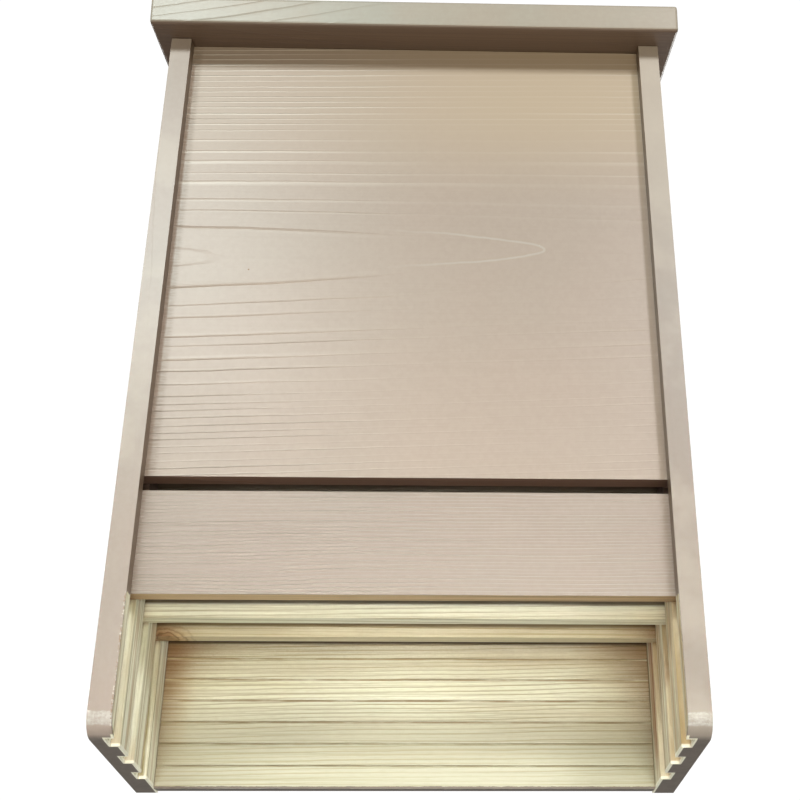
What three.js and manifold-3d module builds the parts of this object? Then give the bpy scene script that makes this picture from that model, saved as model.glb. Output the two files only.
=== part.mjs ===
// Three-chamber wooden bat box, in millimetres, +Z up, front towards -Y.
// The origin lies on the wall plane behind the box, midway between the two keyholes it hangs on.

import * as THREE from 'three';
import { mergeVertices } from 'three/addons/utils/BufferGeometryUtils.js';
import Module from 'manifold-3d';

const wasm = await Module();
wasm.setup();

// Driving dimensions

const boxWidth = 318; // over the outer faces of the side boards
const frontHeight = 458; // lowest corner of a side board up to the roof, at the front edge
const stockThickness = 12.7; // side boards, panels, baffles and back board
const panelRecess = 9.1; // front panels set back from the front edges of the side boards
const chamberDepth = 20; // each of the three roosting chambers, front to back
const seatClearance = 0.3; // between a board or fastener and what it seats in
const cutOverrun = 5; // how far a cut runs past the face it starts from

// Roof board
const roofThickness = 19;
const roofPitch = THREE.MathUtils.degToRad(8); // falls towards the front
const roofFrontOverhang = 17.5;
const roofSideOverhang = 10.6;
const roofEdgeRadius = 1.6;

// Side boards
const grooveDepth = 4.7;
const footRise = 17; // the lower end climbs this much from back to front
const footCornerRadius = 13;

// Front panels, baffles and back board, heights above the lowest corner of the side boards
const lowerPanelBottom = 91.2;
const lowerPanelHeight = 58.3;
const ventGap = 8.5;
const frontBaffleBottom = 86;
const rearBaffleBottom = 82.7;
const baffleHeadroom = 20; // bats cross between the chambers over the baffles
const backBoardBottom = 1;

// Saw kerfs that the bats climb on
const kerfPitch = 12.5;
const kerfWidth = 1.2;
const kerfDepth = 1.2;
const firstKerfRise = 12.8; // above the lower end of the board
const kerfFreeTop = 8; // plain wood left under the upper end of the board

// Keyholes in the rear face of the back board
const keyholeHeight = 400;
const keyholeSpacing = 200;
const keyholeHeadDiameter = 11;
const keyholeSlotWidth = 5.2;
const keyholeTravel = 14;
const keyholeDepth = 8;
const keyholeLip = 3;
const keyholeSegments = 24;

// Countersunk screws
const screwHeadDiameter = 7.6;
const screwShankDiameter = 4;
const screwTipLength = 4;
const screwRecessDepth = 1.6;
const screwRecessWidth = 0.9;
const screwRecessSpan = 4.2;
const roofScrewLength = 45;
const sideScrewLength = 32;
const screwSegments = 12;

// Brads through the side boards into the ends of the panels and baffles
const bradDiameter = 2;
const bradLength = 30;
const bradSetDepth = 0.8; // driven below the surface
const bradSegments = 8;

// Heights of the fasteners, as shares of the edge that they go into
const sideScrewShares = [0.07, 0.35, 0.64, 0.91];
const upperPanelBradShares = [0.1, 0.5, 0.9];
const shortEdgeBradShares = [0.25, 0.75];
const baffleBradShares = [0.12, 0.88];

// Places that follow from the sizes above, depths measured back from the front edges

const halfWidth = boxWidth / 2;
const innerHalfWidth = halfWidth - stockThickness;
const boardStep = stockThickness + chamberDepth;
const panelFront = panelRecess;
const frontBaffleFront = panelFront + boardStep;
const rearBaffleFront = frontBaffleFront + boardStep;
const backBoardFront = rearBaffleFront + boardStep;
const boxDepth = backBoardFront + stockThickness;
const lowerPanelTop = lowerPanelBottom + lowerPanelHeight;
const upperPanelBottom = lowerPanelTop + ventGap;
const seatedHalfWidth = innerHalfWidth + grooveDepth - seatClearance;
const footSlant = Math.atan2(footRise, boxDepth);

const roofUnderside = (y) => frontHeight + y * Math.tan(roofPitch);
const underRoof = (y) => roofUnderside(y) - seatClearance;
const baffleTop = roofUnderside(panelFront) - baffleHeadroom;

const sides = [{ name: 'left', sign: -1 }, { name: 'right', sign: 1 }];

// Materials

const wood = (color, roughness) => new THREE.MeshStandardMaterial({ color, roughness, metalness: 0 });
const paintedWood = wood(0xc4b3a4, 0.5);
const roofPaint = wood(0xcfcabb, 0.55);
const bareWood = wood(0xdccf9c, 0.75);
const steel = new THREE.MeshStandardMaterial({ color: 0x9a958c, roughness: 0.4, metalness: 0.9 });

// Solids

/** A three.js geometry as a solid that can be joined and cut. */
function toSolid(geometry) {
  const bare = geometry.clone();
  bare.deleteAttribute('normal');
  bare.deleteAttribute('uv');
  const merged = mergeVertices(bare);
  return new wasm.Manifold(new wasm.Mesh({
    numProp: 3,
    vertProperties: merged.attributes.position.array,
    triVerts: merged.index.array,
  }));
}

/** A solid back as a flat-shaded three.js geometry. */
function toGeometry(solid) {
  const { vertProperties, triVerts } = solid.getMesh();
  const indexed = new THREE.BufferGeometry();
  indexed.setAttribute('position', new THREE.BufferAttribute(vertProperties, 3));
  indexed.setIndex(new THREE.BufferAttribute(triVerts, 1));
  const geometry = indexed.toNonIndexed();
  geometry.computeVertexNormals();
  return geometry;
}

/** A block given by its low and high corners. */
function block(low, high) {
  const size = high.map((value, axis) => value - low[axis]);
  const geometry = new THREE.BoxGeometry(...size);
  geometry.translate(...low.map((value, axis) => value + size[axis] / 2));
  return toSolid(geometry);
}

/** An outline in depth and height, extruded across the box between two places on X. */
function extrudeAcross(shape, xLow, xHigh, options = {}) {
  const depth = xHigh - xLow;
  const geometry = new THREE.ExtrudeGeometry(shape, { depth, bevelEnabled: false, ...options });
  const axes = [[0, 1, 0], [0, 0, 1], [1, 0, 0]].map((axis) => new THREE.Vector3(...axis));
  geometry.applyMatrix4(new THREE.Matrix4().makeBasis(...axes));
  geometry.translate(xLow, 0, 0);
  return geometry;
}

const shapeOf = (points) => new THREE.Shape(points.map(([y, z]) => new THREE.Vector2(y, z)));

// Boards

/** Heights of the saw kerfs on a board that stands between two heights. */
function kerfHeights(bottom, top) {
  const count = Math.floor((top - kerfFreeTop - bottom - firstKerfRise) / kerfPitch) + 1;
  return Array.from({ length: count }, (_, i) => bottom + firstKerfRise + i * kerfPitch);
}

/** Points up one face of a board, stepping into each kerf; inward is +1 when the wood lies towards +Y. */
function kerfedFace(y, heights, inward) {
  const floor = y + inward * kerfDepth;
  return heights.flatMap((z) => {
    const [low, high] = [z - kerfWidth / 2, z + kerfWidth / 2];
    return [[y, low], [floor, low], [floor, high], [y, high]];
  });
}

/** A board standing across the box, with kerfs in its front face and, if asked, in its rear face. */
function kerfedBoard(front, bottom, topAt, halfSpan, kerfsBehind) {
  const rear = front + stockThickness;
  const heights = kerfHeights(bottom, topAt(front));
  const outline = [
    [front, bottom], ...kerfedFace(front, heights, 1), [front, topAt(front)],
    [rear, topAt(rear)], ...(kerfsBehind ? kerfedFace(rear, heights, -1).reverse() : []), [rear, bottom],
  ];
  return toSolid(extrudeAcross(shapeOf(outline), -halfSpan, halfSpan));
}

/** A plain panel standing across the box in the front grooves. */
function frontPanel(bottom, topAt) {
  const rear = panelFront + stockThickness;
  const [front, tops] = [panelFront, [topAt(panelFront), topAt(rear)]];
  const outline = [[front, bottom], [front, tops[0]], [rear, tops[1]], [rear, bottom]];
  return toSolid(extrudeAcross(shapeOf(outline), -seatedHalfWidth, seatedHalfWidth));
}

/** A side board: sloping upper end, slanted lower end with a rounded front corner, three long grooves. */
function sideBoard(sign) {
  const cornerAngle = Math.PI / 2 + footSlant;
  const arcCentreHeight = footRise + footCornerRadius / Math.tan(cornerAngle / 2);
  const arcEnd = 1.5 * Math.PI - footSlant;
  const shape = new THREE.Shape();
  shape.moveTo(boxDepth, 0);
  shape.lineTo(boxDepth, underRoof(boxDepth));
  shape.lineTo(0, underRoof(0));
  shape.lineTo(0, arcCentreHeight);
  shape.absarc(footCornerRadius, arcCentreHeight, footCornerRadius, Math.PI, arcEnd, false);
  shape.closePath();
  const [xLow, xHigh] = sign < 0 ? [-halfWidth, -innerHalfWidth] : [innerHalfWidth, halfWidth];
  const grooveFloor = sign * (innerHalfWidth + grooveDepth);
  const grooveMouth = sign * (innerHalfWidth - cutOverrun);
  const grooveX = [Math.min(grooveFloor, grooveMouth), Math.max(grooveFloor, grooveMouth)];
  return [panelFront, frontBaffleFront, rearBaffleFront].reduce(
    (board, front) => board.subtract(block(
      [grooveX[0], front - seatClearance, -cutOverrun],
      [grooveX[1], front + stockThickness + seatClearance, underRoof(boxDepth) + cutOverrun])),
    toSolid(extrudeAcross(shape, xLow, xHigh, { curveSegments: 8 })));
}

/** The roof board, its edges eased, lying on the sloping upper ends of the side boards. */
function roofBoard() {
  const length = (roofFrontOverhang + boxDepth) / Math.cos(roofPitch);
  const [low, r] = [roofEdgeRadius, roofEdgeRadius / 2];
  const [right, top] = [length - roofEdgeRadius, roofThickness - roofEdgeRadius];
  const shape = new THREE.Shape();
  shape.absarc(low + r, low + r, r, Math.PI, 1.5 * Math.PI, false);
  shape.absarc(right - r, low + r, r, 1.5 * Math.PI, 2 * Math.PI, false);
  shape.absarc(right - r, top - r, r, 0, 0.5 * Math.PI, false);
  shape.absarc(low + r, top - r, r, 0.5 * Math.PI, Math.PI, false);
  const span = halfWidth + roofSideOverhang - roofEdgeRadius;
  const geometry = extrudeAcross(shape, -span, span, {
    bevelEnabled: true,
    bevelSize: roofEdgeRadius,
    bevelThickness: roofEdgeRadius,
    bevelSegments: 2,
    curveSegments: 2,
  });
  geometry.rotateX(roofPitch);
  geometry.translate(0, -roofFrontOverhang, roofUnderside(-roofFrontOverhang));
  return toSolid(geometry);
}

/** A keyhole pocket in the rear face: a hole for the screw head, and above it an undercut slot. */
function keyholeCutter(x) {
  const pocket = (diameter, z, depthFrom, depthTo) => {
    const [radius, length] = [diameter / 2, depthTo - depthFrom];
    const geometry = new THREE.CylinderGeometry(radius, radius, length, keyholeSegments);
    geometry.translate(x, boxDepth - (depthFrom + depthTo) / 2, z);
    return geometry;
  };
  const slot = (width, depthFrom, depthTo) => block(
    [x - width / 2, boxDepth - depthTo, keyholeHeight],
    [x + width / 2, boxDepth - depthFrom, keyholeHeight + keyholeTravel]);
  const slotEnd = keyholeHeight + keyholeTravel;
  return toSolid(pocket(keyholeHeadDiameter, keyholeHeight, -cutOverrun, keyholeDepth))
    .add(toSolid(pocket(keyholeHeadDiameter, slotEnd, keyholeLip, keyholeDepth)))
    .add(slot(keyholeHeadDiameter, keyholeLip, keyholeDepth))
    .add(toSolid(pocket(keyholeSlotWidth, slotEnd, -cutOverrun, keyholeDepth)))
    .add(slot(keyholeSlotWidth, -cutOverrun, keyholeDepth));
}

function backBoard() {
  const halfSpan = innerHalfWidth - seatClearance;
  const board = kerfedBoard(backBoardFront, backBoardBottom, underRoof, halfSpan, false);
  return sides.reduce((cut, { sign }) => cut.subtract(keyholeCutter(sign * keyholeSpacing / 2)), board);
}

// Fasteners, each modelled with its head's top at the origin and its point towards -Y

/** Turned profile of a countersunk screw; grow widens it into the hole that it seats in. */
function screwProfile(length, grow) {
  const headRadius = screwHeadDiameter / 2 + grow;
  const shankRadius = screwShankDiameter / 2 + grow;
  const headDepth = (screwHeadDiameter - screwShankDiameter) / 2;
  const rise = grow > 0 ? cutOverrun : 0;
  const points = [
    [0, -length - grow], [shankRadius, -length + screwTipLength], [shankRadius, -headDepth],
    [headRadius, 0], ...(rise > 0 ? [[headRadius, rise]] : []), [0, rise],
  ];
  return new THREE.LatheGeometry(points.map(([r, y]) => new THREE.Vector2(r, y)), screwSegments);
}

function screwSolid(length) {
  const recess = [[screwRecessSpan, screwRecessWidth], [screwRecessWidth, screwRecessSpan]];
  const arm = ([x, z]) => block([-x / 2, -screwRecessDepth, -z / 2], [x / 2, cutOverrun, z / 2]);
  return recess.reduce((screw, size) => screw.subtract(arm(size)), toSolid(screwProfile(length, 0)));
}

/** A headless brad, or with grow the hole it is driven into. */
function bradProfile(grow) {
  const radius = bradDiameter / 2 + grow;
  const top = grow > 0 ? cutOverrun : -bradSetDepth;
  const shoulder = -bradLength + bradDiameter - grow;
  const points = [[0, -bradLength - grow], [radius, shoulder], [radius, top], [0, top]];
  return new THREE.LatheGeometry(points.map(([r, y]) => new THREE.Vector2(r, y)), bradSegments);
}

const screwKind = (length) => ({
  geometry: toGeometry(screwSolid(length)),
  hole: screwProfile(length, seatClearance),
});
const roofScrew = screwKind(roofScrewLength);
const sideScrew = screwKind(sideScrewLength);
const brad = { geometry: toGeometry(toSolid(bradProfile(0))), hole: bradProfile(seatClearance) };

const fasteners = [];

/** Places one fastener, head outwards, and names the boards that it goes through. */
function fasten(name, kind, position, outward, boards) {
  const up = new THREE.Vector3(0, 1, 0);
  const quaternion = new THREE.Quaternion().setFromUnitVectors(up, new THREE.Vector3(...outward));
  const place = new THREE.Vector3(...position);
  const matrix = new THREE.Matrix4().compose(place, quaternion, new THREE.Vector3(1, 1, 1));
  const hole = toSolid(kind.hole.clone().applyMatrix4(matrix));
  fasteners.push({ name, kind, place, quaternion, boards, hole });
}

/** The pieces that brads hold by their ends, with the heights that each one spans. */
const bradded = (name, front, bottom, top, shares) => ({ name, front, bottom, top, shares });
const braddedPieces = [
  bradded('upper_front_panel', panelFront, upperPanelBottom, underRoof(panelFront), upperPanelBradShares),
  bradded('lower_front_panel', panelFront, lowerPanelBottom, lowerPanelTop, shortEdgeBradShares),
  bradded('front_baffle', frontBaffleFront, frontBaffleBottom, baffleTop, baffleBradShares),
  bradded('rear_baffle', rearBaffleFront, rearBaffleBottom, baffleTop, baffleBradShares),
];

for (const { name: side, sign } of sides) {
  const board = `${side}_side_board`;
  const outward = [sign, 0, 0];

  // Roof screws stand over the chambers, where no groove thins the side board
  [panelFront, frontBaffleFront, rearBaffleFront].forEach((front, i) => {
    const chamberMiddle = front + stockThickness + chamberDepth / 2;
    const normal = new THREE.Vector3(0, -Math.sin(roofPitch), Math.cos(roofPitch));
    const x = sign * (halfWidth - stockThickness / 2);
    const head = new THREE.Vector3(x, chamberMiddle, roofUnderside(chamberMiddle));
    head.addScaledVector(normal, roofThickness);
    fasten(`${side}_roof_screw_${i + 1}`, roofScrew, head.toArray(), normal.toArray(),
      ['roof_board', board]);
  });

  sideScrewShares.forEach((share, i) => {
    const z = backBoardBottom + share * (underRoof(backBoardFront) - backBoardBottom);
    const head = [sign * halfWidth, backBoardFront + stockThickness / 2, z];
    fasten(`${side}_side_screw_${i + 1}`, sideScrew, head, outward, [board, 'back_board']);
  });

  for (const { name: piece, front, bottom, top, shares } of braddedPieces) {
    shares.forEach((share, i) => {
      const head = [sign * halfWidth, front + stockThickness / 2, bottom + share * (top - bottom)];
      fasten(`${side}_${piece}_brad_${i + 1}`, brad, head, outward, [board, piece]);
    });
  }
}

// Assembly

/** A baffle: kerfed on both faces, square at its upper end, seated in the side boards' grooves. */
const baffle = (front, bottom) => kerfedBoard(front, bottom, () => baffleTop, seatedHalfWidth, true);

const upperPanel = frontPanel(upperPanelBottom, underRoof);
const lowerPanel = frontPanel(lowerPanelBottom, () => lowerPanelTop);

const boards = [
  { name: 'roof_board', solid: roofBoard(), material: roofPaint },
  { name: 'left_side_board', solid: sideBoard(-1), material: paintedWood },
  { name: 'right_side_board', solid: sideBoard(1), material: paintedWood },
  { name: 'upper_front_panel', solid: upperPanel, material: paintedWood },
  { name: 'lower_front_panel', solid: lowerPanel, material: paintedWood },
  { name: 'front_baffle', solid: baffle(frontBaffleFront, frontBaffleBottom), material: bareWood },
  { name: 'rear_baffle', solid: baffle(rearBaffleFront, rearBaffleBottom), material: bareWood },
  { name: 'back_board', solid: backBoard(), material: bareWood },
];

const batBox = new THREE.Group();
batBox.name = 'bat_box';
batBox.position.set(0, -boxDepth, -keyholeHeight);

for (const { name, solid, material } of boards) {
  const holes = fasteners.filter((fastener) => fastener.boards.includes(name));
  const drilled = holes.reduce((board, { hole }) => board.subtract(hole), solid);
  const mesh = new THREE.Mesh(toGeometry(drilled), material);
  mesh.name = name;
  batBox.add(mesh);
}

for (const { name, kind, place, quaternion } of fasteners) {
  const mesh = new THREE.Mesh(kind.geometry, steel);
  mesh.name = name;
  mesh.position.copy(place);
  mesh.quaternion.copy(quaternion);
  batBox.add(mesh);
}

const root = new THREE.Group();
root.add(batBox);

export default root;
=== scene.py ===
import math

import bpy
from mathutils import Matrix, Vector


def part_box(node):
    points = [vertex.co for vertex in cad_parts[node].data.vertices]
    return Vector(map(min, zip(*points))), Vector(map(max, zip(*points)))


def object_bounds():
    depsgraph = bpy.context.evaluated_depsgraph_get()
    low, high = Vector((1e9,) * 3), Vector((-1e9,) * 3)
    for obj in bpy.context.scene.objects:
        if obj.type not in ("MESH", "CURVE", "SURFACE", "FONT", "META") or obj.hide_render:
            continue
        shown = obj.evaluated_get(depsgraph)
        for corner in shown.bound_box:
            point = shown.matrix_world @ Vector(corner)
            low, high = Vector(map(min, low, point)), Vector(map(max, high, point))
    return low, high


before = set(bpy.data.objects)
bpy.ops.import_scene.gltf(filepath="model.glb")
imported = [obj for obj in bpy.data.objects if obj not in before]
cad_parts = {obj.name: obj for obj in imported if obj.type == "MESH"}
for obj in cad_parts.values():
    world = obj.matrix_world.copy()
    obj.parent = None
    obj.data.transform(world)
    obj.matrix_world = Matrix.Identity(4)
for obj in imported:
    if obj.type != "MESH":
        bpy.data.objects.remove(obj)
cad_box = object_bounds()
MM = 0.001

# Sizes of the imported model
left_low, left_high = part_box("left_side_board")
right_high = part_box("right_side_board")[1]
upper_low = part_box("upper_front_panel")[0]
lower_low, lower_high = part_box("lower_front_panel")
baffle_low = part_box("front_baffle")[0]
rear_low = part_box("rear_baffle")[0]
back_low, back_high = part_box("back_board")

half_width = right_high.x
board_thickness = lower_high.y - lower_low.y
inner_half_width = half_width - board_thickness
front_edge = left_low.y
back_edge = left_high.y
groove_depth = lower_high.x - inner_half_width
SEATED = [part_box(name) for name in ("upper_front_panel", "front_baffle", "rear_baffle")]

# The slanted foot of a side board
FOOT_RISE = 17 * MM  # how much higher it ends at the front
FOOT_RADIUS = 13 * MM  # of its rounded front corner
foot_low = left_low.z
foot_front = foot_low + FOOT_RISE
foot_slope = FOOT_RISE / (back_edge - front_edge)
foot_slant = math.atan(foot_slope)
foot_bend = FOOT_RADIUS * math.tan((math.pi / 2 - foot_slant) / 2)  # the corner's reach up the front

# The photograph's viewpoint, from a fit to the edges of the boards
CAMERA_PLACE = Vector((19.0, -731.2, -467.3)) * MM
CAMERA_PITCH = math.radians(-23.655)
CAMERA_YAW = math.radians(1.5606)
CAMERA_ROLL = math.radians(-0.1264)
FOCAL_SHARE = 1.46806  # focal length over the width of the image
CENTRE_SHARES = (0.08892, -0.0028)  # optical centre, right of and above the middle of the image
SENSOR_WIDTH = 36
CLIP_START, CLIP_END = 0.01, 100

FLOOR_HALF_SIZE = 8.0
FLOOR_DROP = 2.0  # below the camera, as the box hangs on a wall
FLOOR_COLOR, FLOOR_GLOW, FLOOR_ROUGHNESS = (0.86, 0.86, 0.85), (0.78, 0.78, 0.77), 0.9
WORLD_LIGHT, WORLD_SEEN = (0.16, 0.158, 0.152), (1.05, 1.05, 1.05)

# Name, degrees to the right of the front, degrees above the level, distance, size, power, degrees of
# spread, colour. The near ones shine up into the chamber, and the others at the middle.
LIGHTS = [
    ("key", -33, 30, 2.5, 0.3, 15, 180, (0.93, 0.98, 1.0)),
    ("sheen", -17, 29, 2.4, 0.3, 19, 180, (0.88, 1.0, 0.97)),
    ("right", 28, 27, 2.5, 0.4, 28, 180, (0.95, 0.97, 1.0)),
    ("fill", 4, -14, 2.2, 1.0, 18, 180, (1.0, 0.87, 0.64)),
    ("near_left", -11, -5, 1.3, 0.1, 0.05, 26, (0.97, 1.0, 0.99)),
    ("near_right", 24, -5, 1.3, 0.06, 0.06, 26, (0.97, 1.0, 0.99)),
    ("near_far_left", -48, -5, 1.3, 0.4, 0.106, 26, (0.97, 1.0, 0.99)),
    ("near_far_right", 48, -5, 1.3, 0.4, 0.1, 26, (0.97, 1.0, 0.99)),
    ("back_left", -140, 24, 2.8, 1.2, 50, 180, (1.0, 0.99, 0.97)),
    ("back_right", 150, 10, 2.8, 1.2, 40, 180, (1.0, 0.99, 0.97)),
]
NEAR_HEIGHT = 0.04  # of the near lights, which are low and wide


def srgb(*values):
    """A colour given as 0 to 255, made linear."""
    shares = [value / 255 for value in values]
    return tuple(s / 12.92 if s <= 0.04045 else ((s + 0.055) / 1.055) ** 2.4 for s in shares)


PAINT = srgb(163, 149, 137)
PAINT_WARM = srgb(165, 149, 137)
# Darker copies of the paint, as painted shade: for the lower panel and left side board, and darker
# still for the right side board
LOW_PAINT = srgb(158, 146, 136)
LOW_PAINT_WARM = srgb(160, 145, 135)
RIGHT_PAINT = srgb(146, 136, 126)
RIGHT_PAINT_WARM = srgb(148, 135, 125)
PAINT_DEEP = srgb(130, 112, 98)
WARM_LIGHT_PAINT = srgb(171, 154, 133)
ROOF_PAINT = srgb(156, 155, 144)
ROOF_PAINT_WARM = srgb(160, 150, 136)
UNDERSIDE_SHADE_PAINT = srgb(116, 94, 77)
SLOT_SHADE_PAINT = srgb(138, 108, 92)
RECESS_SHADE_PAINT = srgb(114, 96, 78)
END_PAINT = srgb(112, 101, 92)
RUBBED_AND_LIT_PAINT = srgb(182, 171, 157)
PALE_PAINT = srgb(190, 187, 180)
HIGHLIGHT_AND_CHIP_PAINT = srgb(222, 216, 204)
DEEP_SHADE_BROWN = srgb(70, 52, 42)
PINE_CUT = srgb(252, 250, 232)
PINE_PALE = srgb(246, 246, 225)
PINE_MID = srgb(236, 234, 204)
PINE_LATE = srgb(172, 158, 114)
FOOT_SHADE_GREY = srgb(153, 147, 121)
PINE_PINK = srgb(238, 227, 200)
PINE_TAN = srgb(206, 172, 124)
PINE_RED = srgb(152, 96, 58)
STREAK_AND_SHADOW_BROWN = srgb(178, 146, 98)
PINE_DARK = srgb(126, 92, 52)
KERF_BROWN = srgb(160, 134, 86)
SHADE_BROWN = srgb(156, 116, 68)
STEEL_DULL, STEEL_BRIGHT = srgb(120, 114, 104), srgb(186, 182, 172)

# How each board was sawn, in millimetres: which way its grain runs, where the middle of the log lies
# behind and across it, how that line leans and drifts to the length, how wide the year rings are near
# it and past the turn, how far they sway, and how many fine lines there are to the metre
LOGS = {
    "upper_front_panel": dict(grain="x", depth=-75.8, across=-96.7, lean=0.035, drift=0.03,
                              spacing=7.6, outer_spacing=4.2, turn=97.0, sway=2.2),
    "lower_front_panel": dict(grain="x", depth=-60.0, across=-420.0, lean=0.02, drift=0.015,
                              spacing=1.85, outer_spacing=1.85, turn=500.0, sway=5.0),
    "front_baffle": dict(grain="x", depth=-40.0, across=-220.0, lean=0.02, drift=0.01,
                         spacing=2.6, outer_spacing=2.6, turn=500.0, sway=3.0),
    "rear_baffle": dict(grain="x", depth=-10.0, across=-200.0, lean=0.03, drift=-0.02,
                        spacing=2.6, outer_spacing=2.6, turn=500.0, sway=3.0),
    "back_board": dict(grain="x", depth=45.0, across=-150.0, lean=0.01, drift=0.015,
                       spacing=2.4, outer_spacing=2.4, turn=500.0, sway=4.0),
    "left_side_board": dict(grain="z", depth=-230.0, across=160.0, lean=0.01, drift=0.015,
                            spacing=8.5, outer_spacing=8.5, turn=500.0, sway=4.0, fine=220.0),
    "right_side_board": dict(grain="z", depth=220.0, across=140.0, lean=0.01, drift=-0.02,
                             spacing=8.0, outer_spacing=8.0, turn=500.0, sway=5.0, fine=200.0),
    "roof_board": dict(grain="x", depth=-220.0, across=-60.0, lean=0.02, drift=0.14,
                       spacing=6.0, outer_spacing=6.0, turn=500.0, sway=6.0),
}
FINE_LINES = 800.0  # to the metre, where the board doesn't say
SEED_STEP = 3.7  # from the noise of one board to the next
TREMBLE = 0.5 * MM  # of the year rings
UNEVENNESS = 1.2  # of their widths, in rings

# How strong each ring's dark line, raised ridge and crest under a painted highlight are, over its run
# from 0 to 1
LATE_WOOD = [(0.0, 0.3), (0.04, 0.0), (0.55, 0.0), (0.78, 0.25), (0.88, 1.0), (0.96, 1.0), (1.0, 0.3)]
RIDGE = [(0.0, 0.0), (0.08, 0.0), (0.78, 0.06), (0.9, 0.35), (0.955, 1.0), (1.0, 0.0)]
CREST = [(0.0, 0.0), (0.72, 0.0), (0.86, 1.0), (0.94, 1.0), (1.0, 0.0)]

# How high the grain and the grit stand out, and how much of the grain shows through the paint
RELIEF_HEIGHT = 0.22 * MM
GRIT_HEIGHT, GRIT_STRENGTH = 0.016 * MM, 0.6
STEEL_GRIT_HEIGHT = 0.02 * MM
SIDE_RIDGES, PANEL_RIDGES = 0.25, 1.9
RIDGES = {"roof_board": 0.9, "lower_front_panel": 2.6}

BARE = ("front_baffle", "rear_baffle")
# Each board's paint where it differs: the roof's own, and the darker copies as painted shade
PAINTS = {
    "roof_board": (ROOF_PAINT, ROOF_PAINT_WARM),
    "lower_front_panel": (LOW_PAINT, LOW_PAINT_WARM),
    "left_side_board": (LOW_PAINT, LOW_PAINT_WARM),
    "right_side_board": (RIGHT_PAINT, RIGHT_PAINT_WARM),
}
# Painted shade: darker paint for the faces turned down on these boards
SHADED_UNDERSIDES = {"roof_board": UNDERSIDE_SHADE_PAINT, "upper_front_panel": SLOT_SHADE_PAINT}

# How strong the darker lines of the bare pine are
LINES = {"back_board": 0.85, "front_baffle": 0.75}

# The front face of each board behind another one, and the lower end of the gap between them, for the
# painted shade in that gap
GAP_ENDS = {
    "front_baffle": (baffle_low.y, lower_low.z),
    "rear_baffle": (rear_low.y, baffle_low.z),
    "back_board": (back_low.y, rear_low.z),
}

# How dark the painted shade in the corners and gaps of a board is, and how wide it may reach
OPEN_CREVICE = (0.7, 5 * MM)
CREVICES = {
    "back_board": (0.9, 50 * MM),
    "rear_baffle": (0.85, 30 * MM),
    "front_baffle": (0.4, 18 * MM),
    "lower_front_panel": (0.85, 40 * MM),
    "upper_front_panel": (0.7, 18 * MM),
}
CREVICE_SAMPLES = 8

# Single marks, placed as in the photograph, in millimetres
RING_TIP_X, RING_TIP_Z = 81, -93  # tip of the pointed year ring on the upper panel
RING_OPENING, RING_SWAY = 0.55, 3.0  # how fast that ring opens behind its tip, and how far it sways
RING_WIDTHS = (1.1, 0.3)  # how far from its middle it begins, and is full
SPECK_X, SPECK_Z, SPECK_RADII = -98.3, -109.2, (0.5, 0.5, 0.5)  # on the upper panel
KNOT_CENTRE, KNOT_RADII = (-140, -42, -320), (8, 18, 5)  # whirl in the rear baffle
SCRATCH_CENTRE, SCRATCH_RADII = (152, -119.9, -395), (2.3, 2.3, 2.3)  # scratched arcs on the feet

# Places in the frame. Of two in brackets, a look changes from the first to the second
WARM_LIGHT_Z, WARM_LIGHT_X = (-70 * MM, 20 * MM), (-120 * MM, 100 * MM)  # of painted warm light on the upper panel's paint
RIDGE_HIGHLIGHT_Z, RING_X = (-78 * MM, -52 * MM), (-30 * MM, 50 * MM)  # where a painted highlight on the ridges grows
LEFT_RIDGES_X, RIGHT_RIDGES_X = (-110 * MM, 20 * MM), (90 * MM, 150 * MM)  # where these stand out
LOW_RIDGES_X = (-40 * MM, 90 * MM)  # and where they do on the lower panel
CALM_LOW, CALM_HIGH, CALM_SOFTNESS = -48 * MM, -2 * MM, 8 * MM  # where they stand out less
LIGHTER_TOP_SIDE, LIGHTER_TOP_HEIGHTS = (0.0, 1 * MM), (-170 * MM, 0.0)  # where painted light makes the right side board lighter towards the top
RED_DEPTHS = (-40 * MM, -48 * MM)  # of the thin red streaks in it
STREAK_Y, STREAK_SWAY, STREAK_WIDTHS = -27 * MM, 8 * MM, (6.5 * MM, 4.0 * MM)  # of its broad one
STREAK_LOW, STREAK_HIGH, STREAK_SOFTNESS = -385 * MM, -300 * MM, 12 * MM

# Lengths of the marks, from the edge or face that each belongs to, with brackets as above
KERF_DEPTHS = (0.1 * MM, 0.5 * MM)
SHADED_FOOT, SHADED_TOP = (60 * MM, 20 * MM), (30 * MM, 8 * MM)  # of the painted shade on the back board
# Of the painted shadow of the left side board on the back board
LEFT_SHADOW_WIDTHS, LEFT_SHADOW_HEIGHTS = (20 * MM, 4 * MM), (10 * MM, 70 * MM)
LAP_DEPTHS = (1 * MM, 0.5 * MM)  # of the paint on the back board's lower end
GAP_FRONT, GAP_START, GAP_FADE = (0.3 * MM, 0.1 * MM), (1.6 * MM, 4.0 * MM), (22 * MM, 8 * MM)
SLOT_BELOW, SLOT_DEPTH = 6 * MM, 1 * MM  # how far the painted shade of the vent slot reaches past it
SIDE_SLOT, BAFFLE_SLOT = (16 * MM, 1 * MM), (12 * MM, 2 * MM)  # its reach above, and its softness
RIM_WIDTH, RIM_SOFTNESS = 1.3 * MM, 0.2 * MM  # bare wood round the cut ends of the grooves
RIM_PAST_FLOOR, RIM_PAST_FACE = (1.5 * MM, 1.1 * MM), (1.4 * MM, 1.0 * MM)
RIM_DEPTHS, RIM_FRONT = (2.0 * MM, 1.2 * MM), (5 * MM, 6 * MM)
RECESS_WIDTHS, RECESS_DEPTHS = (2 * MM, 1 * MM), (0.3 * MM, 0.1 * MM)
RUBBED_DEPTHS = (1 * MM, 0.0)
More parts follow.
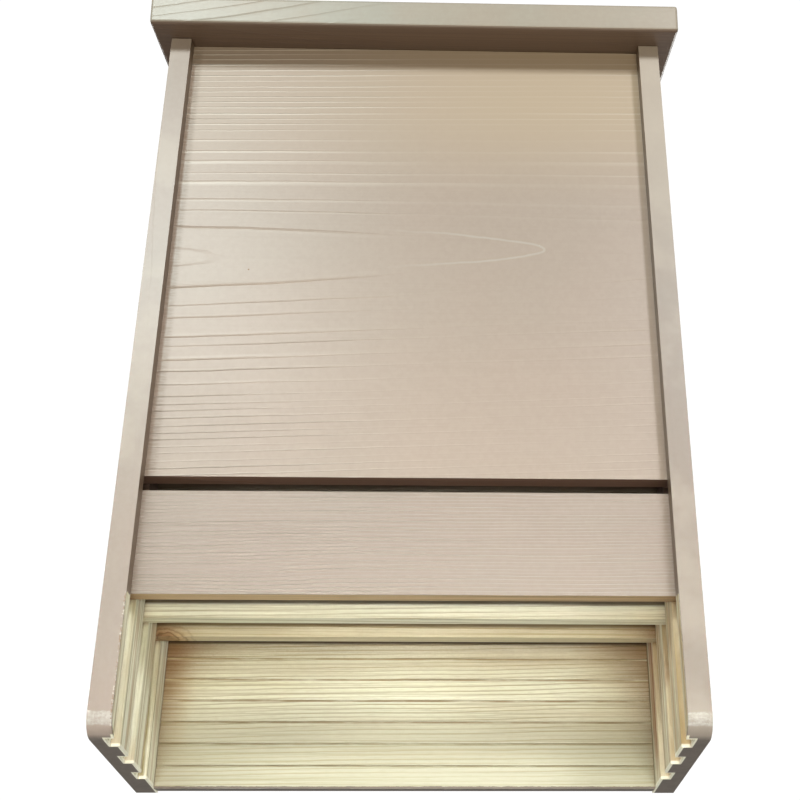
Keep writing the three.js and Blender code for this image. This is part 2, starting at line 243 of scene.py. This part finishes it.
# Of the painted highlight band under the bend of each foot
HIGHLIGHT_BAND_HEIGHT, HIGHLIGHT_BAND_WANDER, HIGHLIGHT_BAND_SOFTNESS = 6.5 * MM, 2.4 * MM, 0.6 * MM
HIGHLIGHT_BAND_DEPTHS = (9 * MM, 6 * MM)
TORN_WIDTH, TORN_SOFTNESS, TORN_DEPTHS, TORN_FADE = 0.9 * MM, 0.2 * MM, (3 * MM, 2 * MM), 3 * MM
CHIPS_BELOW_PANEL, CHIPS_WANDER, CHIPS_SOFTNESS = 5 * MM, 9 * MM, 0.3 * MM
SHADOW_STRIP = (12 * MM, 9 * MM)  # painted shadow of the left side board, with fine dark marks, at the left end of the upper panel

# How far paint laps round an edge, where the noise runs from 0 to 1: its rise, and its start at 0
EDGE_WANDER, EDGE_START = 1.5 * MM, -0.25 * MM
SIDE_WANDER, SIDE_START, SIDE_LEAST = 4.0 * MM, -1.2 * MM, 0.2 * MM
LAP_WANDER, LAP_START = 1.2 * MM, 0.8 * MM  # at the lower end of the back board
PAINT_SOFTNESS = 0.1 * MM  # of the ragged limit


def by_identifier(sockets, identifier):
    return next(socket for socket in sockets if socket.identifier == identifier)


def from_edge(edge, lengths):
    """The places that lie these lengths from an edge."""
    return tuple(edge + length for length in lengths)


class Graph:
    """The nodes of one material, with a short call for each kind of node."""

    def __init__(self, name):
        self.material = bpy.data.materials.new(name)
        self.material.use_nodes = True
        self.tree = self.material.node_tree
        self.shader = self.tree.nodes["Principled BSDF"]

    def set(self, socket, value):
        if isinstance(value, bpy.types.NodeSocket):
            self.tree.links.new(value, socket)
        elif isinstance(value, (tuple, list, Vector)) and socket.type == "RGBA":
            socket.default_value = (*value, 1)
        else:
            socket.default_value = value

    def shade(self, **values):
        """Sets the shader's inputs, with Base_Color for Base Color, and gives the material."""
        for name, value in values.items():
            self.set(self.shader.inputs[name.replace("_", " ")], value)
        return self.material

    def add(self, kind, inputs=None, output=0, **settings):
        node = self.tree.nodes.new(kind)
        for name, value in settings.items():
            setattr(node, name, value)
        for name, value in (inputs or {}).items():
            self.set(node.inputs[name], value)
        return node.outputs[output]

    def math(self, operation, *values, clamp=False):
        return self.add("ShaderNodeMath", dict(enumerate(values)), operation=operation, use_clamp=clamp)

    def chain(self, operation, first, *others):
        for other in others:
            first = self.math(operation, first, other)
        return first

    def total(self, *values):
        return self.chain("ADD", *values)

    def less(self, *values):
        """The first value, less the others."""
        return self.chain("SUBTRACT", *values)

    def product(self, *values):
        return self.chain("MULTIPLY", *values)

    def smallest(self, *values):
        return self.chain("MINIMUM", *values)

    def largest(self, *values):
        return self.chain("MAXIMUM", *values)

    def linear(self, value, slope, start):
        return self.math("MULTIPLY_ADD", value, slope, start)

    def object_place(self):
        """The point in the frame, in metres."""
        return self.add("ShaderNodeTexCoord", output="Object")

    def split(self, vector):
        node = self.tree.nodes.new("ShaderNodeSeparateXYZ")
        self.set(node.inputs[0], vector)
        return tuple(node.outputs)

    def join(self, x, y, z):
        return self.add("ShaderNodeCombineXYZ", {0: x, 1: y, 2: z})

    def stretch(self, values, scales):
        return self.join(*(self.product(value, scale) for value, scale in zip(values, scales)))

    def noise(self, vector, scale=1.0, detail=3.0, roughness=0.55):
        """Noise about 0.5. The scale is in waves to the metre where the vector is a place."""
        inputs = {"Vector": vector, "Scale": scale, "Detail": detail, "Roughness": roughness}
        return self.add("ShaderNodeTexNoise", inputs)

    def wobble(self, vector, scale, detail):
        """Noise about 0."""
        return self.less(self.noise(vector, scale, detail), 0.5)

    def step(self, value, low, high, to_low=0.0, to_high=1.0):
        """Runs smoothly from to_low to to_high while the value runs from low to high."""
        inputs = dict(enumerate((value, low, high, to_low, to_high)))
        return self.add("ShaderNodeMapRange", inputs, interpolation_type="SMOOTHSTEP")

    def between(self, value, low, high, soft):
        """1 where the value lies between low and high, with soft limits."""
        return self.smallest(self.step(value, low - soft, low + soft),
                             self.step(value, high + soft, high - soft))

    def ramp(self, value, stops):
        node = self.tree.nodes.new("ShaderNodeValToRGB")
        self.set(node.inputs[0], value)
        elements = node.color_ramp.elements
        while len(elements) < len(stops):
            elements.new(0.5)
        for element, (position, color) in zip(elements, stops):
            element.position = position
            element.color = (*color, 1) if isinstance(color, tuple) else (color, color, color, 1)
        return node.outputs[0]

    def mix(self, share, first, second, blend="MIX"):
        """A colour between two others."""
        node = self.tree.nodes.new("ShaderNodeMix")
        node.data_type, node.blend_type = "RGBA", blend
        for name, value in (("Factor_Float", share), ("A_Color", first), ("B_Color", second)):
            self.set(by_identifier(node.inputs, name), value)
        return by_identifier(node.outputs, "Result_Color")

    def blend(self, share, first, second):
        """A number between two others."""
        return self.add("ShaderNodeMix", {0: share, 2: first, 3: second}, data_type="FLOAT")

    def bump(self, height, distance, strength=1.0, normal=None):
        inputs = {"Height": height, "Distance": distance, "Strength": strength}
        if normal:
            inputs["Normal"] = normal
        return self.add("ShaderNodeBump", inputs)


class BoardGraph(Graph):
    """The nodes of a board's material, with the place of a point of it and the wood there."""

    def __init__(self, name):
        super().__init__(name)
        self.name, self.side = name, name.endswith("side_board")
        self.place = self.object_place()
        self.x, self.y, self.z = x, y, z = self.split(self.place)
        self.grain = (x, z, y) if LOGS[name]["grain"] == "x" else (z, y, x)  # along, across, depth
        self.ring, self.vigour, self.fibre, self.fuzz = grown_wood(self)
        marked = self.step(self.vigour, 0.0, 1.0, 0.3, 1.0)
        self.ridge = self.product(self.ramp(self.ring, RIDGE), marked)
        self.crest = self.product(self.ramp(self.ring, CREST), marked)
        self.grit = self.noise(self.stretch(self.grain, (500.0, 1100.0, 1100.0)), 1.0, 2.0)
        self.ragged = self.noise(self.place, 240.0, 4.0, 0.7)
        self.normal = self.split(self.add("ShaderNodeNewGeometry", output="True Normal"))


def grown_wood(g):
    """Year rings of a board cut from a log. Gives each ring's run from 0 to 1, how strong that ring
    is, the fine fibres and the finest hairs."""
    log = LOGS[g.name]
    seed = SEED_STEP * (1 + sorted(LOGS).index(g.name))
    along, across, depth = g.grain
    sway = g.wobble(g.join(g.product(along, 7.0), g.product(across, 22.0), seed), 1.0, 2.0)
    tremble = g.wobble(g.join(g.product(along, 70.0), g.product(across, 160.0), seed), 1.0, 2.0)
    aside = g.less(across, g.linear(along, log["drift"], log["across"] * MM))
    behind = g.less(depth, g.linear(along, log["lean"], log["depth"] * MM))
    radius = g.math("SQRT", g.total(g.product(aside, aside), g.product(behind, behind)))
    radius = g.linear(sway, log["sway"] * MM, radius)
    radius = g.linear(tremble, TREMBLE, radius)
    inner_rate, outer_rate = (1 / (log[key] * MM) for key in ("spacing", "outer_spacing"))
    beyond = g.largest(g.less(radius, log["turn"] * MM), 0.0)
    count = g.linear(radius, inner_rate, g.product(beyond, outer_rate - inner_rate))
    count = g.linear(g.wobble(g.join(seed, radius, 0.0), 90.0, 1.0), UNEVENNESS, count)
    each = g.join(seed, g.product(g.math("FLOOR", count), 0.73), g.product(along, 6.0))
    vigour = g.step(g.noise(each, 1.0, 1.0), 0.3, 0.68)
    fine = log.get("fine", FINE_LINES)
    fibre = g.noise(g.stretch(g.grain, (4.0, fine, fine)), 1.0, 3.0, 0.6)
    fuzz = g.noise(g.stretch(g.grain, (120.0, 1900.0, 1900.0)), 1.0, 2.0, 0.7)
    return g.math("FRACT", count), vigour, fibre, fuzz


def pine_color(g):
    """Bare pine, with the darker lines of the board."""
    strength = LINES.get(g.name, 1.0)
    along, across = g.grain[:2]
    bands = g.noise(g.join(g.product(along, 4.0), g.product(across, 60.0), 0.0), 1.0, 2.0)
    color = g.mix(g.step(bands, 0.5, 0.75, 0.0, 0.6), PINE_PALE, PINE_PINK)
    color = g.mix(g.step(bands, 0.45, 0.25, 0.0, 0.6), color, PINE_MID)
    late = g.product(g.ramp(g.ring, LATE_WOOD), g.step(g.vigour, 0.0, 1.0, 0.3, 0.95), strength)
    color = g.mix(late, color, PINE_LATE)
    color = g.mix(g.step(g.fibre, 0.34, 0.5, 0.55 * strength, 0.0), color, PINE_LATE)
    return g.mix(g.step(g.fuzz, 0.3, 0.55, 0.25 * strength, 0.0), color, PINE_LATE)


def distance(g, centre, radii):
    """How far a point lies from a centre, where 1 is the surface of an ellipsoid with these radii."""
    parts = []
    for value, middle, radius in zip((g.x, g.y, g.z), centre, radii):
        part = g.product(g.less(value, middle * MM), 1 / (radius * MM))
        parts.append(g.product(part, part))
    return g.math("SQRT", g.total(*parts))


def back_board_kerfs_and_shade(g, sawn, color):
    """Brown kerfs, with painted shade: greyer towards the foot, browner under the gap, and a painted
    shadow of the left side board along the left end.
    """
    broken = g.noise(g.join(g.product(g.x, 40.0), 0.0, g.product(g.z, 60.0)), 1.0, 3.0)
    color = g.mix(g.product(sawn, g.step(broken, 0.3, 0.6, 0.2, 0.8)), color, KERF_BROWN)
    # Painted shade: greyer towards the foot, browner just under the rear baffle
    grey = g.step(g.z, *from_edge(back_low.z, SHADED_FOOT), 0.0, 0.68)
    brown = g.step(g.z, *(rear_low.z - drop for drop in SHADED_TOP), 0.0, 0.25)
    color = g.mix(brown, g.mix(grey, color, FOOT_SHADE_GREY), PINE_LATE)
    # Painted shadow of the left side board along the left end
    left_shadow = g.product(g.step(g.x, *from_edge(-inner_half_width, LEFT_SHADOW_WIDTHS)),
                      g.step(g.z, *from_edge(back_low.z, LEFT_SHADOW_HEIGHTS), 0.0, 0.85))
    return g.mix(g.product(left_shadow, g.step(g.fibre, 0.3, 0.6, 0.8, 0.5)), color, STREAK_AND_SHADOW_BROWN)


def rear_baffle_knot(g, color):
    """The brown whirl round a knot at the lower left corner."""
    far = g.linear(g.wobble(g.place, 160.0, 2.0), 0.8, distance(g, KNOT_CENTRE, KNOT_RADII))
    color = g.mix(g.step(far, 2.2, 0.5, 0.0, 0.9), color, PINE_TAN)
    color = g.mix(g.step(far, 1.3, 0.3, 0.0, 0.55), color, PINE_DARK)
    turns = g.math("FRACT", g.product(far, 2.1))
    line = g.ramp(turns, [(0.0, 0.6), (0.2, 0.0), (0.6, 0.0), (0.9, 1.0)])
    return g.mix(g.product(line, g.step(far, 2.4, 0.9, 0.0, 0.7)), color, PINE_DARK)


def side_streaks(g, color):
    """Thin brown lines that wander along the inner face of a side board."""
    hills = g.noise(g.join(3.0, g.product(g.y, 130.0), g.product(g.z, 4.0)), 1.0, 2.0)
    for level, share in ((0.42, 0.55), (0.58, 0.4)):
        line = g.step(g.math("ABSOLUTE", g.less(hills, level)), 0.045, 0.012, 0.0, share)
        color = g.mix(line, color, STREAK_AND_SHADOW_BROWN)
    return color


def right_side_figure(g, color):
    """Tan and reddish streaks along the right side board."""
    tan = g.noise(g.join(0.0, g.product(g.y, 110.0), g.product(g.z, 6.0)), 1.0, 3.0)
    color = g.mix(g.step(tan, 0.42, 0.58, 0.1, 0.5), color, PINE_TAN)
    red = g.noise(g.join(5.0, g.product(g.y, 210.0), g.product(g.z, 22.0)), 1.0, 3.0)
    thin = g.product(g.step(g.y, *RED_DEPTHS), g.step(red, 0.56, 0.64, 0.0, 0.4))
    color = g.mix(thin, color, PINE_RED)
    wander = g.noise(g.join(0.0, 0.0, g.product(g.z, 40.0)), 1.0, 3.0)
    off = g.math("ABSOLUTE", g.less(g.y, g.linear(wander, STREAK_SWAY, STREAK_Y)))
    broad = g.product(g.step(off, *STREAK_WIDTHS), g.step(g.fibre, 0.4, 0.6, 0.9, 0.4),
                      g.between(g.z, STREAK_LOW, STREAK_HIGH, STREAK_SOFTNESS))
    return g.mix(broad, color, PINE_RED)


def foot_depth(g):
    """How far a point of a side board lies inside its outline, and how far from the lower end."""
    from_front = g.less(g.y, front_edge)
    slanted = g.linear(g.less(back_edge, g.y), foot_slope, foot_low)
    from_end = g.product(g.less(g.z, slanted), math.cos(foot_slant))
    short = [g.largest(g.less(FOOT_RADIUS, depth), 0.0) for depth in (from_front, from_end)]
    reach = g.math("SQRT", g.total(*(g.product(part, part) for part in short)))
    return g.less(FOOT_RADIUS, reach), from_end


def groove_share(g):
    """1 in the width of the three grooves and of the rims beside them."""
    seats = [(low.y - RIM_WIDTH, high.y + RIM_WIDTH) for low, high in SEATED]
    return g.largest(*(g.between(g.y, low, high, RIM_SOFTNESS) for low, high in seats))


def cut_rim(g, width, from_end):
    """1 on the bare rim round the cut ends of the grooves, at the foot of a side board."""
    groove_floor = inner_half_width + groove_depth
    notch = g.product(groove_share(g), g.step(width, *from_edge(groove_floor, RIM_PAST_FLOOR)))
    rim = g.largest(notch, g.step(width, *from_edge(inner_half_width, RIM_PAST_FACE)))
    return g.product(rim, g.step(from_end, *RIM_DEPTHS), g.step(g.normal[1], 0.5, 0.3),
                     g.step(g.y, *from_edge(front_edge, RIM_FRONT)))


def crevice(g, reach):
    """The share of painted shade: 1 deep in a corner or gap that is narrower than reach, and 0 in the
    open.
    """
    free = g.add("ShaderNodeAmbientOcclusion", {"Distance": reach}, "AO", samples=CREVICE_SAMPLES)
    return g.step(free, 0.72, 0.3)


def slot_shade(g, above, soft):
    """Painted shade of the vent slot on what lies beside and behind it."""
    return g.between(g.z, lower_high.z - SLOT_BELOW, upper_low.z + above, soft)


def gap_shade(g):
    """Painted shade in the gap in front of a board, above the lower end of the board before it."""
    front, end = GAP_ENDS[g.name]
    return g.product(g.step(g.y, *from_edge(front, GAP_FRONT)), g.step(g.z, *from_edge(end, GAP_START)),
                     g.step(g.z, *from_edge(end, GAP_FADE), 0.3, 0.85))


def bare_color(g):
    """The colour of a board's bare wood, with its own marks and painted shade in its gaps and corners.
    """
    color = pine_color(g)
    closed, reach = CREVICES.get(g.name, OPEN_CREVICE)
    if g.name == "back_board":
        sawn = g.step(g.y, *from_edge(back_low.y, KERF_DEPTHS))
        color = back_board_kerfs_and_shade(g, sawn, color)
        closed = g.math("SUBTRACT", closed, sawn, clamp=True)
    if g.side:
        color = side_streaks(g, color)
        if g.name == "right_side_board":
            color = right_side_figure(g, color)
        # Painted shade of the vent slot on the side board's inner face
        behind = g.step(g.y, baffle_low.y + SLOT_DEPTH, baffle_low.y)
        color = g.mix(g.product(slot_shade(g, *SIDE_SLOT), behind), color, DEEP_SHADE_BROWN)
    if g.name in GAP_ENDS:
        # Painted shade in the gap in front of this board
        color = g.mix(gap_shade(g), color, DEEP_SHADE_BROWN)
    if g.name == "front_baffle":
        color = g.mix(0.1, color, PINE_LATE)
        # Painted shade of the vent slot on the front baffle
        color = g.mix(g.product(slot_shade(g, *BAFFLE_SLOT), 0.9), color, DEEP_SHADE_BROWN)
    if g.name == "rear_baffle":
        # Darker and browner all over: painted shade deep in the chamber
        color = g.mix(0.3, g.mix(0.3, color, PINE_TAN), PINE_LATE)
        color = rear_baffle_knot(g, color)
    if g.name == "lower_front_panel":
        color = g.mix(0.85, color, g.mix(g.step(g.fibre, 0.3, 0.6), PINE_DARK, PINE_TAN))
    if g.side:
        rim = cut_rim(g, g.math("ABSOLUTE", g.x), foot_depth(g)[1])
        color = g.mix(g.product(rim, 0.85), color, PINE_CUT)
    # Painted shade in the corners and gaps, from ambient occlusion
    if g.name != "roof_board":
        shade = g.product(crevice(g, reach), closed)
        color = g.mix(shade, color, g.mix(1.0, color, SHADE_BROWN, "MULTIPLY"))
    return color


def painted_color(g):
    """Thin paint, a little cloudy and darker in its pores."""
    base, warm = PAINTS.get(g.name, (PAINT, PAINT_WARM))
    color = g.mix(g.step(g.noise(g.place, 8.0, 3.0), 0.3, 0.7), base, warm)
    fine = g.noise(g.place, 320.0, 3.0)
    color = g.mix(g.step(fine, 0.3, 0.7, 0.10, 0.0), color, PAINT_DEEP)
    return g.mix(g.step(g.fibre, 0.3, 0.6, 0.05, 0.0), color, PAINT_DEEP)


def side_board_paint(g, paint):
    """Rubbed patches on the front edge, painted light towards the top of the right side board, and
    painted shade in the recess beside the panels.
    """
    rubbed = g.product(g.step(g.noise(g.place, 28.0, 3.0), 0.45, 0.7),
                       g.step(g.y, *from_edge(front_edge, RUBBED_DEPTHS), 0.12, 0.35))
    paint = g.mix(rubbed, paint, RUBBED_AND_LIT_PAINT)
    # Painted light: the right side board gets lighter towards the top
    high = g.product(g.step(g.x, *LIGHTER_TOP_SIDE), g.step(g.z, *LIGHTER_TOP_HEIGHTS, 0.0, 0.6))
    paint = g.mix(high, paint, RUBBED_AND_LIT_PAINT)
    # Painted shade on the inner faces of the recess in front of the panels
    sunk = g.step(g.math("ABSOLUTE", g.x), *from_edge(inner_half_width, RECESS_WIDTHS))
    sideways = g.step(g.math("ABSOLUTE", g.normal[0]), 0.6, 0.9)
    return g.mix(g.product(sunk, sideways), paint, RECESS_SHADE_PAINT)


def foot_highlight_paint(g, paint):
    """A painted highlight band under the bend of each foot, with scratched arcs in it."""
    bend = g.linear(g.ragged, HIGHLIGHT_BAND_WANDER, foot_front + foot_bend - HIGHLIGHT_BAND_WANDER / 2)
    arc = g.math("FRACT", distance(g, SCRATCH_CENTRE, SCRATCH_RADII))
    highlight_band = g.product(g.between(g.less(bend, g.z), 0.0, HIGHLIGHT_BAND_HEIGHT, HIGHLIGHT_BAND_SOFTNESS),
                      g.ramp(arc, [(0.0, 1.0), (0.35, 0.7), (0.8, 0.8), (1.0, 1.0)]),
                      g.step(g.ragged, 0.3, 0.6, 0.45, 1.0),
                      g.step(g.y, *from_edge(front_edge, HIGHLIGHT_BAND_DEPTHS)))
    fine = g.stretch((g.x, g.y, g.z), (500.0, 500.0, 900.0))
    scratch = g.step(g.noise(fine, 1.0, 4.0, 0.7), 0.35, 0.6, 0.4, 1.0)
    return g.mix(g.product(highlight_band, scratch), paint, PALE_PAINT)


def torn_paint(g, paint):
    """Pale and dark spatter where paint is torn off the inner front corner of the left side board."""
    torn = g.product(g.between(g.x, -inner_half_width - TORN_WIDTH, 0.0, TORN_SOFTNESS),
                     g.step(g.y, *from_edge(front_edge, TORN_DEPTHS)),
                     g.step(g.z, lower_low.z, lower_low.z - TORN_FADE))
    drops = g.noise(g.place, 760.0, 2.0)
    paint = g.mix(g.product(torn, g.step(drops, 0.56, 0.64, 0.0, 0.8)), paint, HIGHLIGHT_AND_CHIP_PAINT)
    return g.mix(g.product(torn, g.step(drops, 0.42, 0.38, 0.0, 0.7)), paint, PINE_DARK)


def upper_panel_paint(g, shown, paint):
    """Painted warm light towards the top right, a painted highlight on the crests of the raised grain,
    the pale end of one year ring, a painted shadow with fine dark marks at the left end and one dark
    speck."""
    # Painted warm light: the paint turns yellower towards the top right
    warm_light = g.product(g.step(g.z, *WARM_LIGHT_Z), g.step(g.x, *WARM_LIGHT_X, 0.3, 1.0))
    paint = g.mix(warm_light, paint, WARM_LIGHT_PAINT)
    # Painted highlight on the crests of the raised grain, stronger towards the top
    ridge_highlight = g.product(shown, g.step(g.z, *RIDGE_HIGHLIGHT_Z, 0.1, 0.7))
    paint = g.mix(g.product(ridge_highlight, g.crest), paint, HIGHLIGHT_AND_CHIP_PAINT)
    run = g.product(g.less(g.x, RING_TIP_X * MM), 1 / MM)
    off = g.product(g.less(g.z, RING_TIP_Z * MM), 1 / MM)
    off = g.linear(g.wobble(g.place, 45.0, 2.0), RING_SWAY, off)
    off = g.product(off, off)
    slope = g.math("SQRT", g.linear(off, (2 * RING_OPENING) ** 2, 1.0))
    gap = g.math("ABSOLUTE", g.math("DIVIDE", g.linear(off, RING_OPENING, run), slope))
    tip = g.product(g.step(gap, *RING_WIDTHS, 0.0, 0.28), g.step(g.x, *RING_X))
    paint = g.mix(tip, paint, PALE_PAINT)
    # Painted shadow of the left side board along the left end, broken by fine dark marks
    dash = g.noise(g.join(g.product(g.x, 150.0), 0.0, g.product(g.z, 900.0)), 1.0, 2.0)
    strip = g.step(g.x, *from_edge(upper_low.x, SHADOW_STRIP))
    paint = g.mix(g.product(strip, g.step(dash, 0.35, 0.65, 0.5, 0.05)), paint, PAINT_DEEP)
    speck = distance(g, (SPECK_X, upper_low.y / MM, SPECK_Z), SPECK_RADII)
    return g.mix(g.step(speck, 1.2, 0.8), paint, PINE_DARK)


def paint_layer(g):
    """The colour of a board's paint, and how far the grain stands out under it."""
    paint = painted_color(g)
    shown = g.largest(g.step(g.x, *LEFT_RIDGES_X, 1.0, 0.15), g.step(g.x, *RIGHT_RIDGES_X, 0.15, 0.3))
    if g.side:
        paint = torn_paint(g, foot_highlight_paint(g, side_board_paint(g, paint)))
    if g.name == "back_board":
        paint = g.mix(g.step(g.y, *from_edge(back_low.y, LAP_DEPTHS)), paint, END_PAINT)
    if g.name == "lower_front_panel":
        shown = g.step(g.x, *LOW_RIDGES_X, 1.0, 0.5)
        # Painted highlight on the crests of the raised grain
        paint = g.mix(g.product(g.crest, shown, 0.45), paint, HIGHLIGHT_AND_CHIP_PAINT)
    if g.name == "upper_front_panel":
        calm = g.between(g.z, CALM_LOW, CALM_HIGH, CALM_SOFTNESS)
        shown = g.product(shown, g.linear(calm, -0.5, 1.0))
        paint = upper_panel_paint(g, shown, paint)
    # Faces turned down get darker, streaky paint: painted shade, and on the end grain of the side
    # boards also paint soaked in darker
    facing_down = g.step(g.normal[2], *((-0.8, -0.97) if g.side else (-0.3, -0.85)))
    under = SHADED_UNDERSIDES.get(g.name, END_PAINT)
    streaky = g.mix(g.step(g.fibre, 0.3, 0.7, 0.5, 0.0), under, tuple(part * 0.6 for part in under))
    return g.mix(facing_down, paint, streaky), shown


def near(g, depth, edge):
    """1 where a depth below a painted face is smaller than the ragged edge of its paint."""
    return g.step(g.less(edge, depth), -PAINT_SOFTNESS, PAINT_SOFTNESS)


def side_paint_share(g):
    """Painted outside, round the outline and in the recess in front of the panels, chipped below."""
    edge = g.largest(g.linear(g.ragged, SIDE_WANDER, SIDE_START), SIDE_LEAST)
    width = g.math("ABSOLUTE", g.x)
    outer = g.math("GREATER_THAN", width, half_width - board_thickness / 3)
    inside, from_end = foot_depth(g)
    chipped = g.linear(g.ragged, CHIPS_WANDER, lower_low.z - CHIPS_BELOW_PANEL)
    recess = g.product(g.step(g.y, *from_edge(lower_low.y, RECESS_DEPTHS)),
                       g.step(g.less(g.z, chipped), -CHIPS_SOFTNESS, CHIPS_SOFTNESS))
    rear = near(g, g.less(back_edge, g.y), edge)
    painted = g.largest(outer, near(g, inside, edge), rear, recess)
    return g.product(painted, g.less(1.0, cut_rim(g, width, from_end)))


def paint_share(g):
    """How far a point of a board is painted, from 0 to 1."""
    if g.name == "roof_board":
        return 1.0
    if g.side:
        return side_paint_share(g)
    edge = g.linear(g.ragged, EDGE_WANDER, EDGE_START)
    if g.name == "back_board":
        lap = g.linear(g.ragged, LAP_WANDER, back_low.z + LAP_START)
        return g.largest(near(g, g.less(back_high.y, g.y), edge), near(g, g.z, lap))
    if g.name == "upper_front_panel":
        front, end = g.less(g.y, upper_low.y), g.less(g.z, upper_low.z)
    else:
        front, end = g.less(g.y, lower_low.y), g.less(lower_high.z, g.z)
    return g.largest(near(g, front, edge), near(g, end, edge))


def board_material(name):
    """Pine, with paint on every board but the baffles."""
    g = BoardGraph(name)
    color = bare_color(g)
    rough = g.step(g.fibre, 0.2, 0.8, 0.6, 0.78)
    relief = g.linear(g.ridge, 0.5, g.product(g.fibre, 0.8))
    if name not in BARE:
        share = paint_share(g)
        paint, shown = paint_layer(g)
        color = g.mix(share, color, paint)
        rough = g.blend(share, rough, g.step(g.grit, 0.2, 0.8, 0.34, 0.38))
        height = SIDE_RIDGES if g.side else RIDGES.get(name, PANEL_RIDGES)
        raised = g.linear(g.product(g.ridge, shown), height, g.product(g.fibre, 0.1))
        relief = g.blend(share, relief, raised)
    bumped = g.bump(g.grit, GRIT_HEIGHT, GRIT_STRENGTH, g.bump(relief, RELIEF_HEIGHT))
    return g.shade(Base_Color=color, Roughness=rough, Normal=bumped)


def steel_material():
    """The fasteners' steel, dull in patches."""
    g = Graph("steel")
    place = g.object_place()
    dirt = g.noise(place, 700.0, 4.0, 0.6)
    bumped = g.bump(g.noise(place, 2500.0, 2.0), STEEL_GRIT_HEIGHT, 0.5)
    return g.shade(Base_Color=g.ramp(dirt, [(0.3, STEEL_DULL), (0.7, STEEL_BRIGHT)]),
                   Roughness=g.step(dirt, 0.3, 0.7, 0.5, 0.3), Metallic=1.0, Normal=bumped)


def dress(node, material):
    node.data.materials.clear()
    node.data.materials.append(material)


def add_object(name, data):
    thing = bpy.data.objects.new(name, data)
    bpy.context.scene.collection.objects.link(thing)
    return thing


def place_camera():
    data = bpy.data.cameras.new("camera")
    camera = add_object("camera", data)
    data.sensor_width = SENSOR_WIDTH
    data.lens = FOCAL_SHARE * SENSOR_WIDTH
    data.shift_x, data.shift_y = (-share for share in CENTRE_SHARES)
    data.clip_start, data.clip_end = CLIP_START, CLIP_END
    turn = Matrix.Rotation(CAMERA_PITCH, 3, "X") @ Matrix.Rotation(CAMERA_YAW, 3, "Z")
    right, forward, up = (Vector(row) for row in turn)
    cos, sin = math.cos(CAMERA_ROLL), math.sin(CAMERA_ROLL)
    columns = (right * cos + up * sin, up * cos - right * sin, -forward)
    camera.matrix_world = Matrix.Translation(CAMERA_PLACE) @ Matrix(columns).transposed().to_4x4()
    bpy.context.scene.camera = camera


def stage_floor():
    size = FLOOR_HALF_SIZE
    mesh = bpy.data.meshes.new("floor")
    corners = [(-size, -size, 0), (size, -size, 0), (size, size, 0), (-size, size, 0)]
    mesh.from_pydata(corners, [], [(0, 1, 2, 3)])
    floor = add_object("floor", mesh)
    floor.location.z = CAMERA_PLACE.z - FLOOR_DROP
    g = Graph("floor")
    # Only the camera sees it glow, so that it's pale but throws no light at the object
    seen = g.add("ShaderNodeLightPath", output="Is Camera Ray")
    mesh.materials.append(g.shade(Base_Color=FLOOR_COLOR, Roughness=FLOOR_ROUGHNESS,
                                  Emission_Color=FLOOR_GLOW, Emission_Strength=seen))


def area_light(name, place, aim, size, height, power, spread, color):
    data = bpy.data.lights.new(name, "AREA")
    data.shape, data.size, data.size_y = "RECTANGLE", size, height
    data.energy, data.spread, data.color = power, math.radians(spread), color
    light = add_object(name, data)
    light.location = place
    light.rotation_mode = "QUATERNION"
    light.rotation_quaternion = (aim - place).to_track_quat("-Z", "Y")


def light_world():
    world = bpy.data.worlds.new("world")
    bpy.context.scene.world = world
    world.use_nodes = True
    tree = world.node_tree
    background = tree.nodes["Background"]
    background.inputs["Strength"].default_value = 1.0
    # The camera sees white, and the object gets a dimmer light from all sides
    seen = tree.nodes.new("ShaderNodeLightPath").outputs["Is Camera Ray"]
    mix = tree.nodes.new("ShaderNodeMix")
    mix.data_type = "RGBA"
    tree.links.new(seen, by_identifier(mix.inputs, "Factor_Float"))
    by_identifier(mix.inputs, "A_Color").default_value = (*WORLD_LIGHT, 1)
    by_identifier(mix.inputs, "B_Color").default_value = (*WORLD_SEEN, 1)
    tree.links.new(by_identifier(mix.outputs, "Result_Color"), background.inputs["Color"])


def light_scene():
    light_world()
    middle = (cad_box[0] + cad_box[1]) / 2
    chamber = Vector((middle.x, back_low.y, (rear_low.z + back_low.z) / 2))
    for name, azimuth, elevation, far, size, power, spread, color in LIGHTS:
        turn, rise = math.radians(azimuth), math.radians(elevation)
        level = math.cos(rise)
        towards = Vector((math.sin(turn) * level, -math.cos(turn) * level, math.sin(rise)))
        aim, height = (chamber, NEAR_HEIGHT) if name.startswith("near") else (middle, size)
        area_light(name, aim + towards * far, aim, size, height, power, spread, color)


place_camera()
for board in LOGS:
    dress(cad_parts[board], board_material(board))
steel = steel_material()
for name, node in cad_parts.items():
    if name not in LOGS:
        dress(node, steel)
stage_floor()
light_scene()
bpy.context.scene.view_settings.view_transform = "Standard"
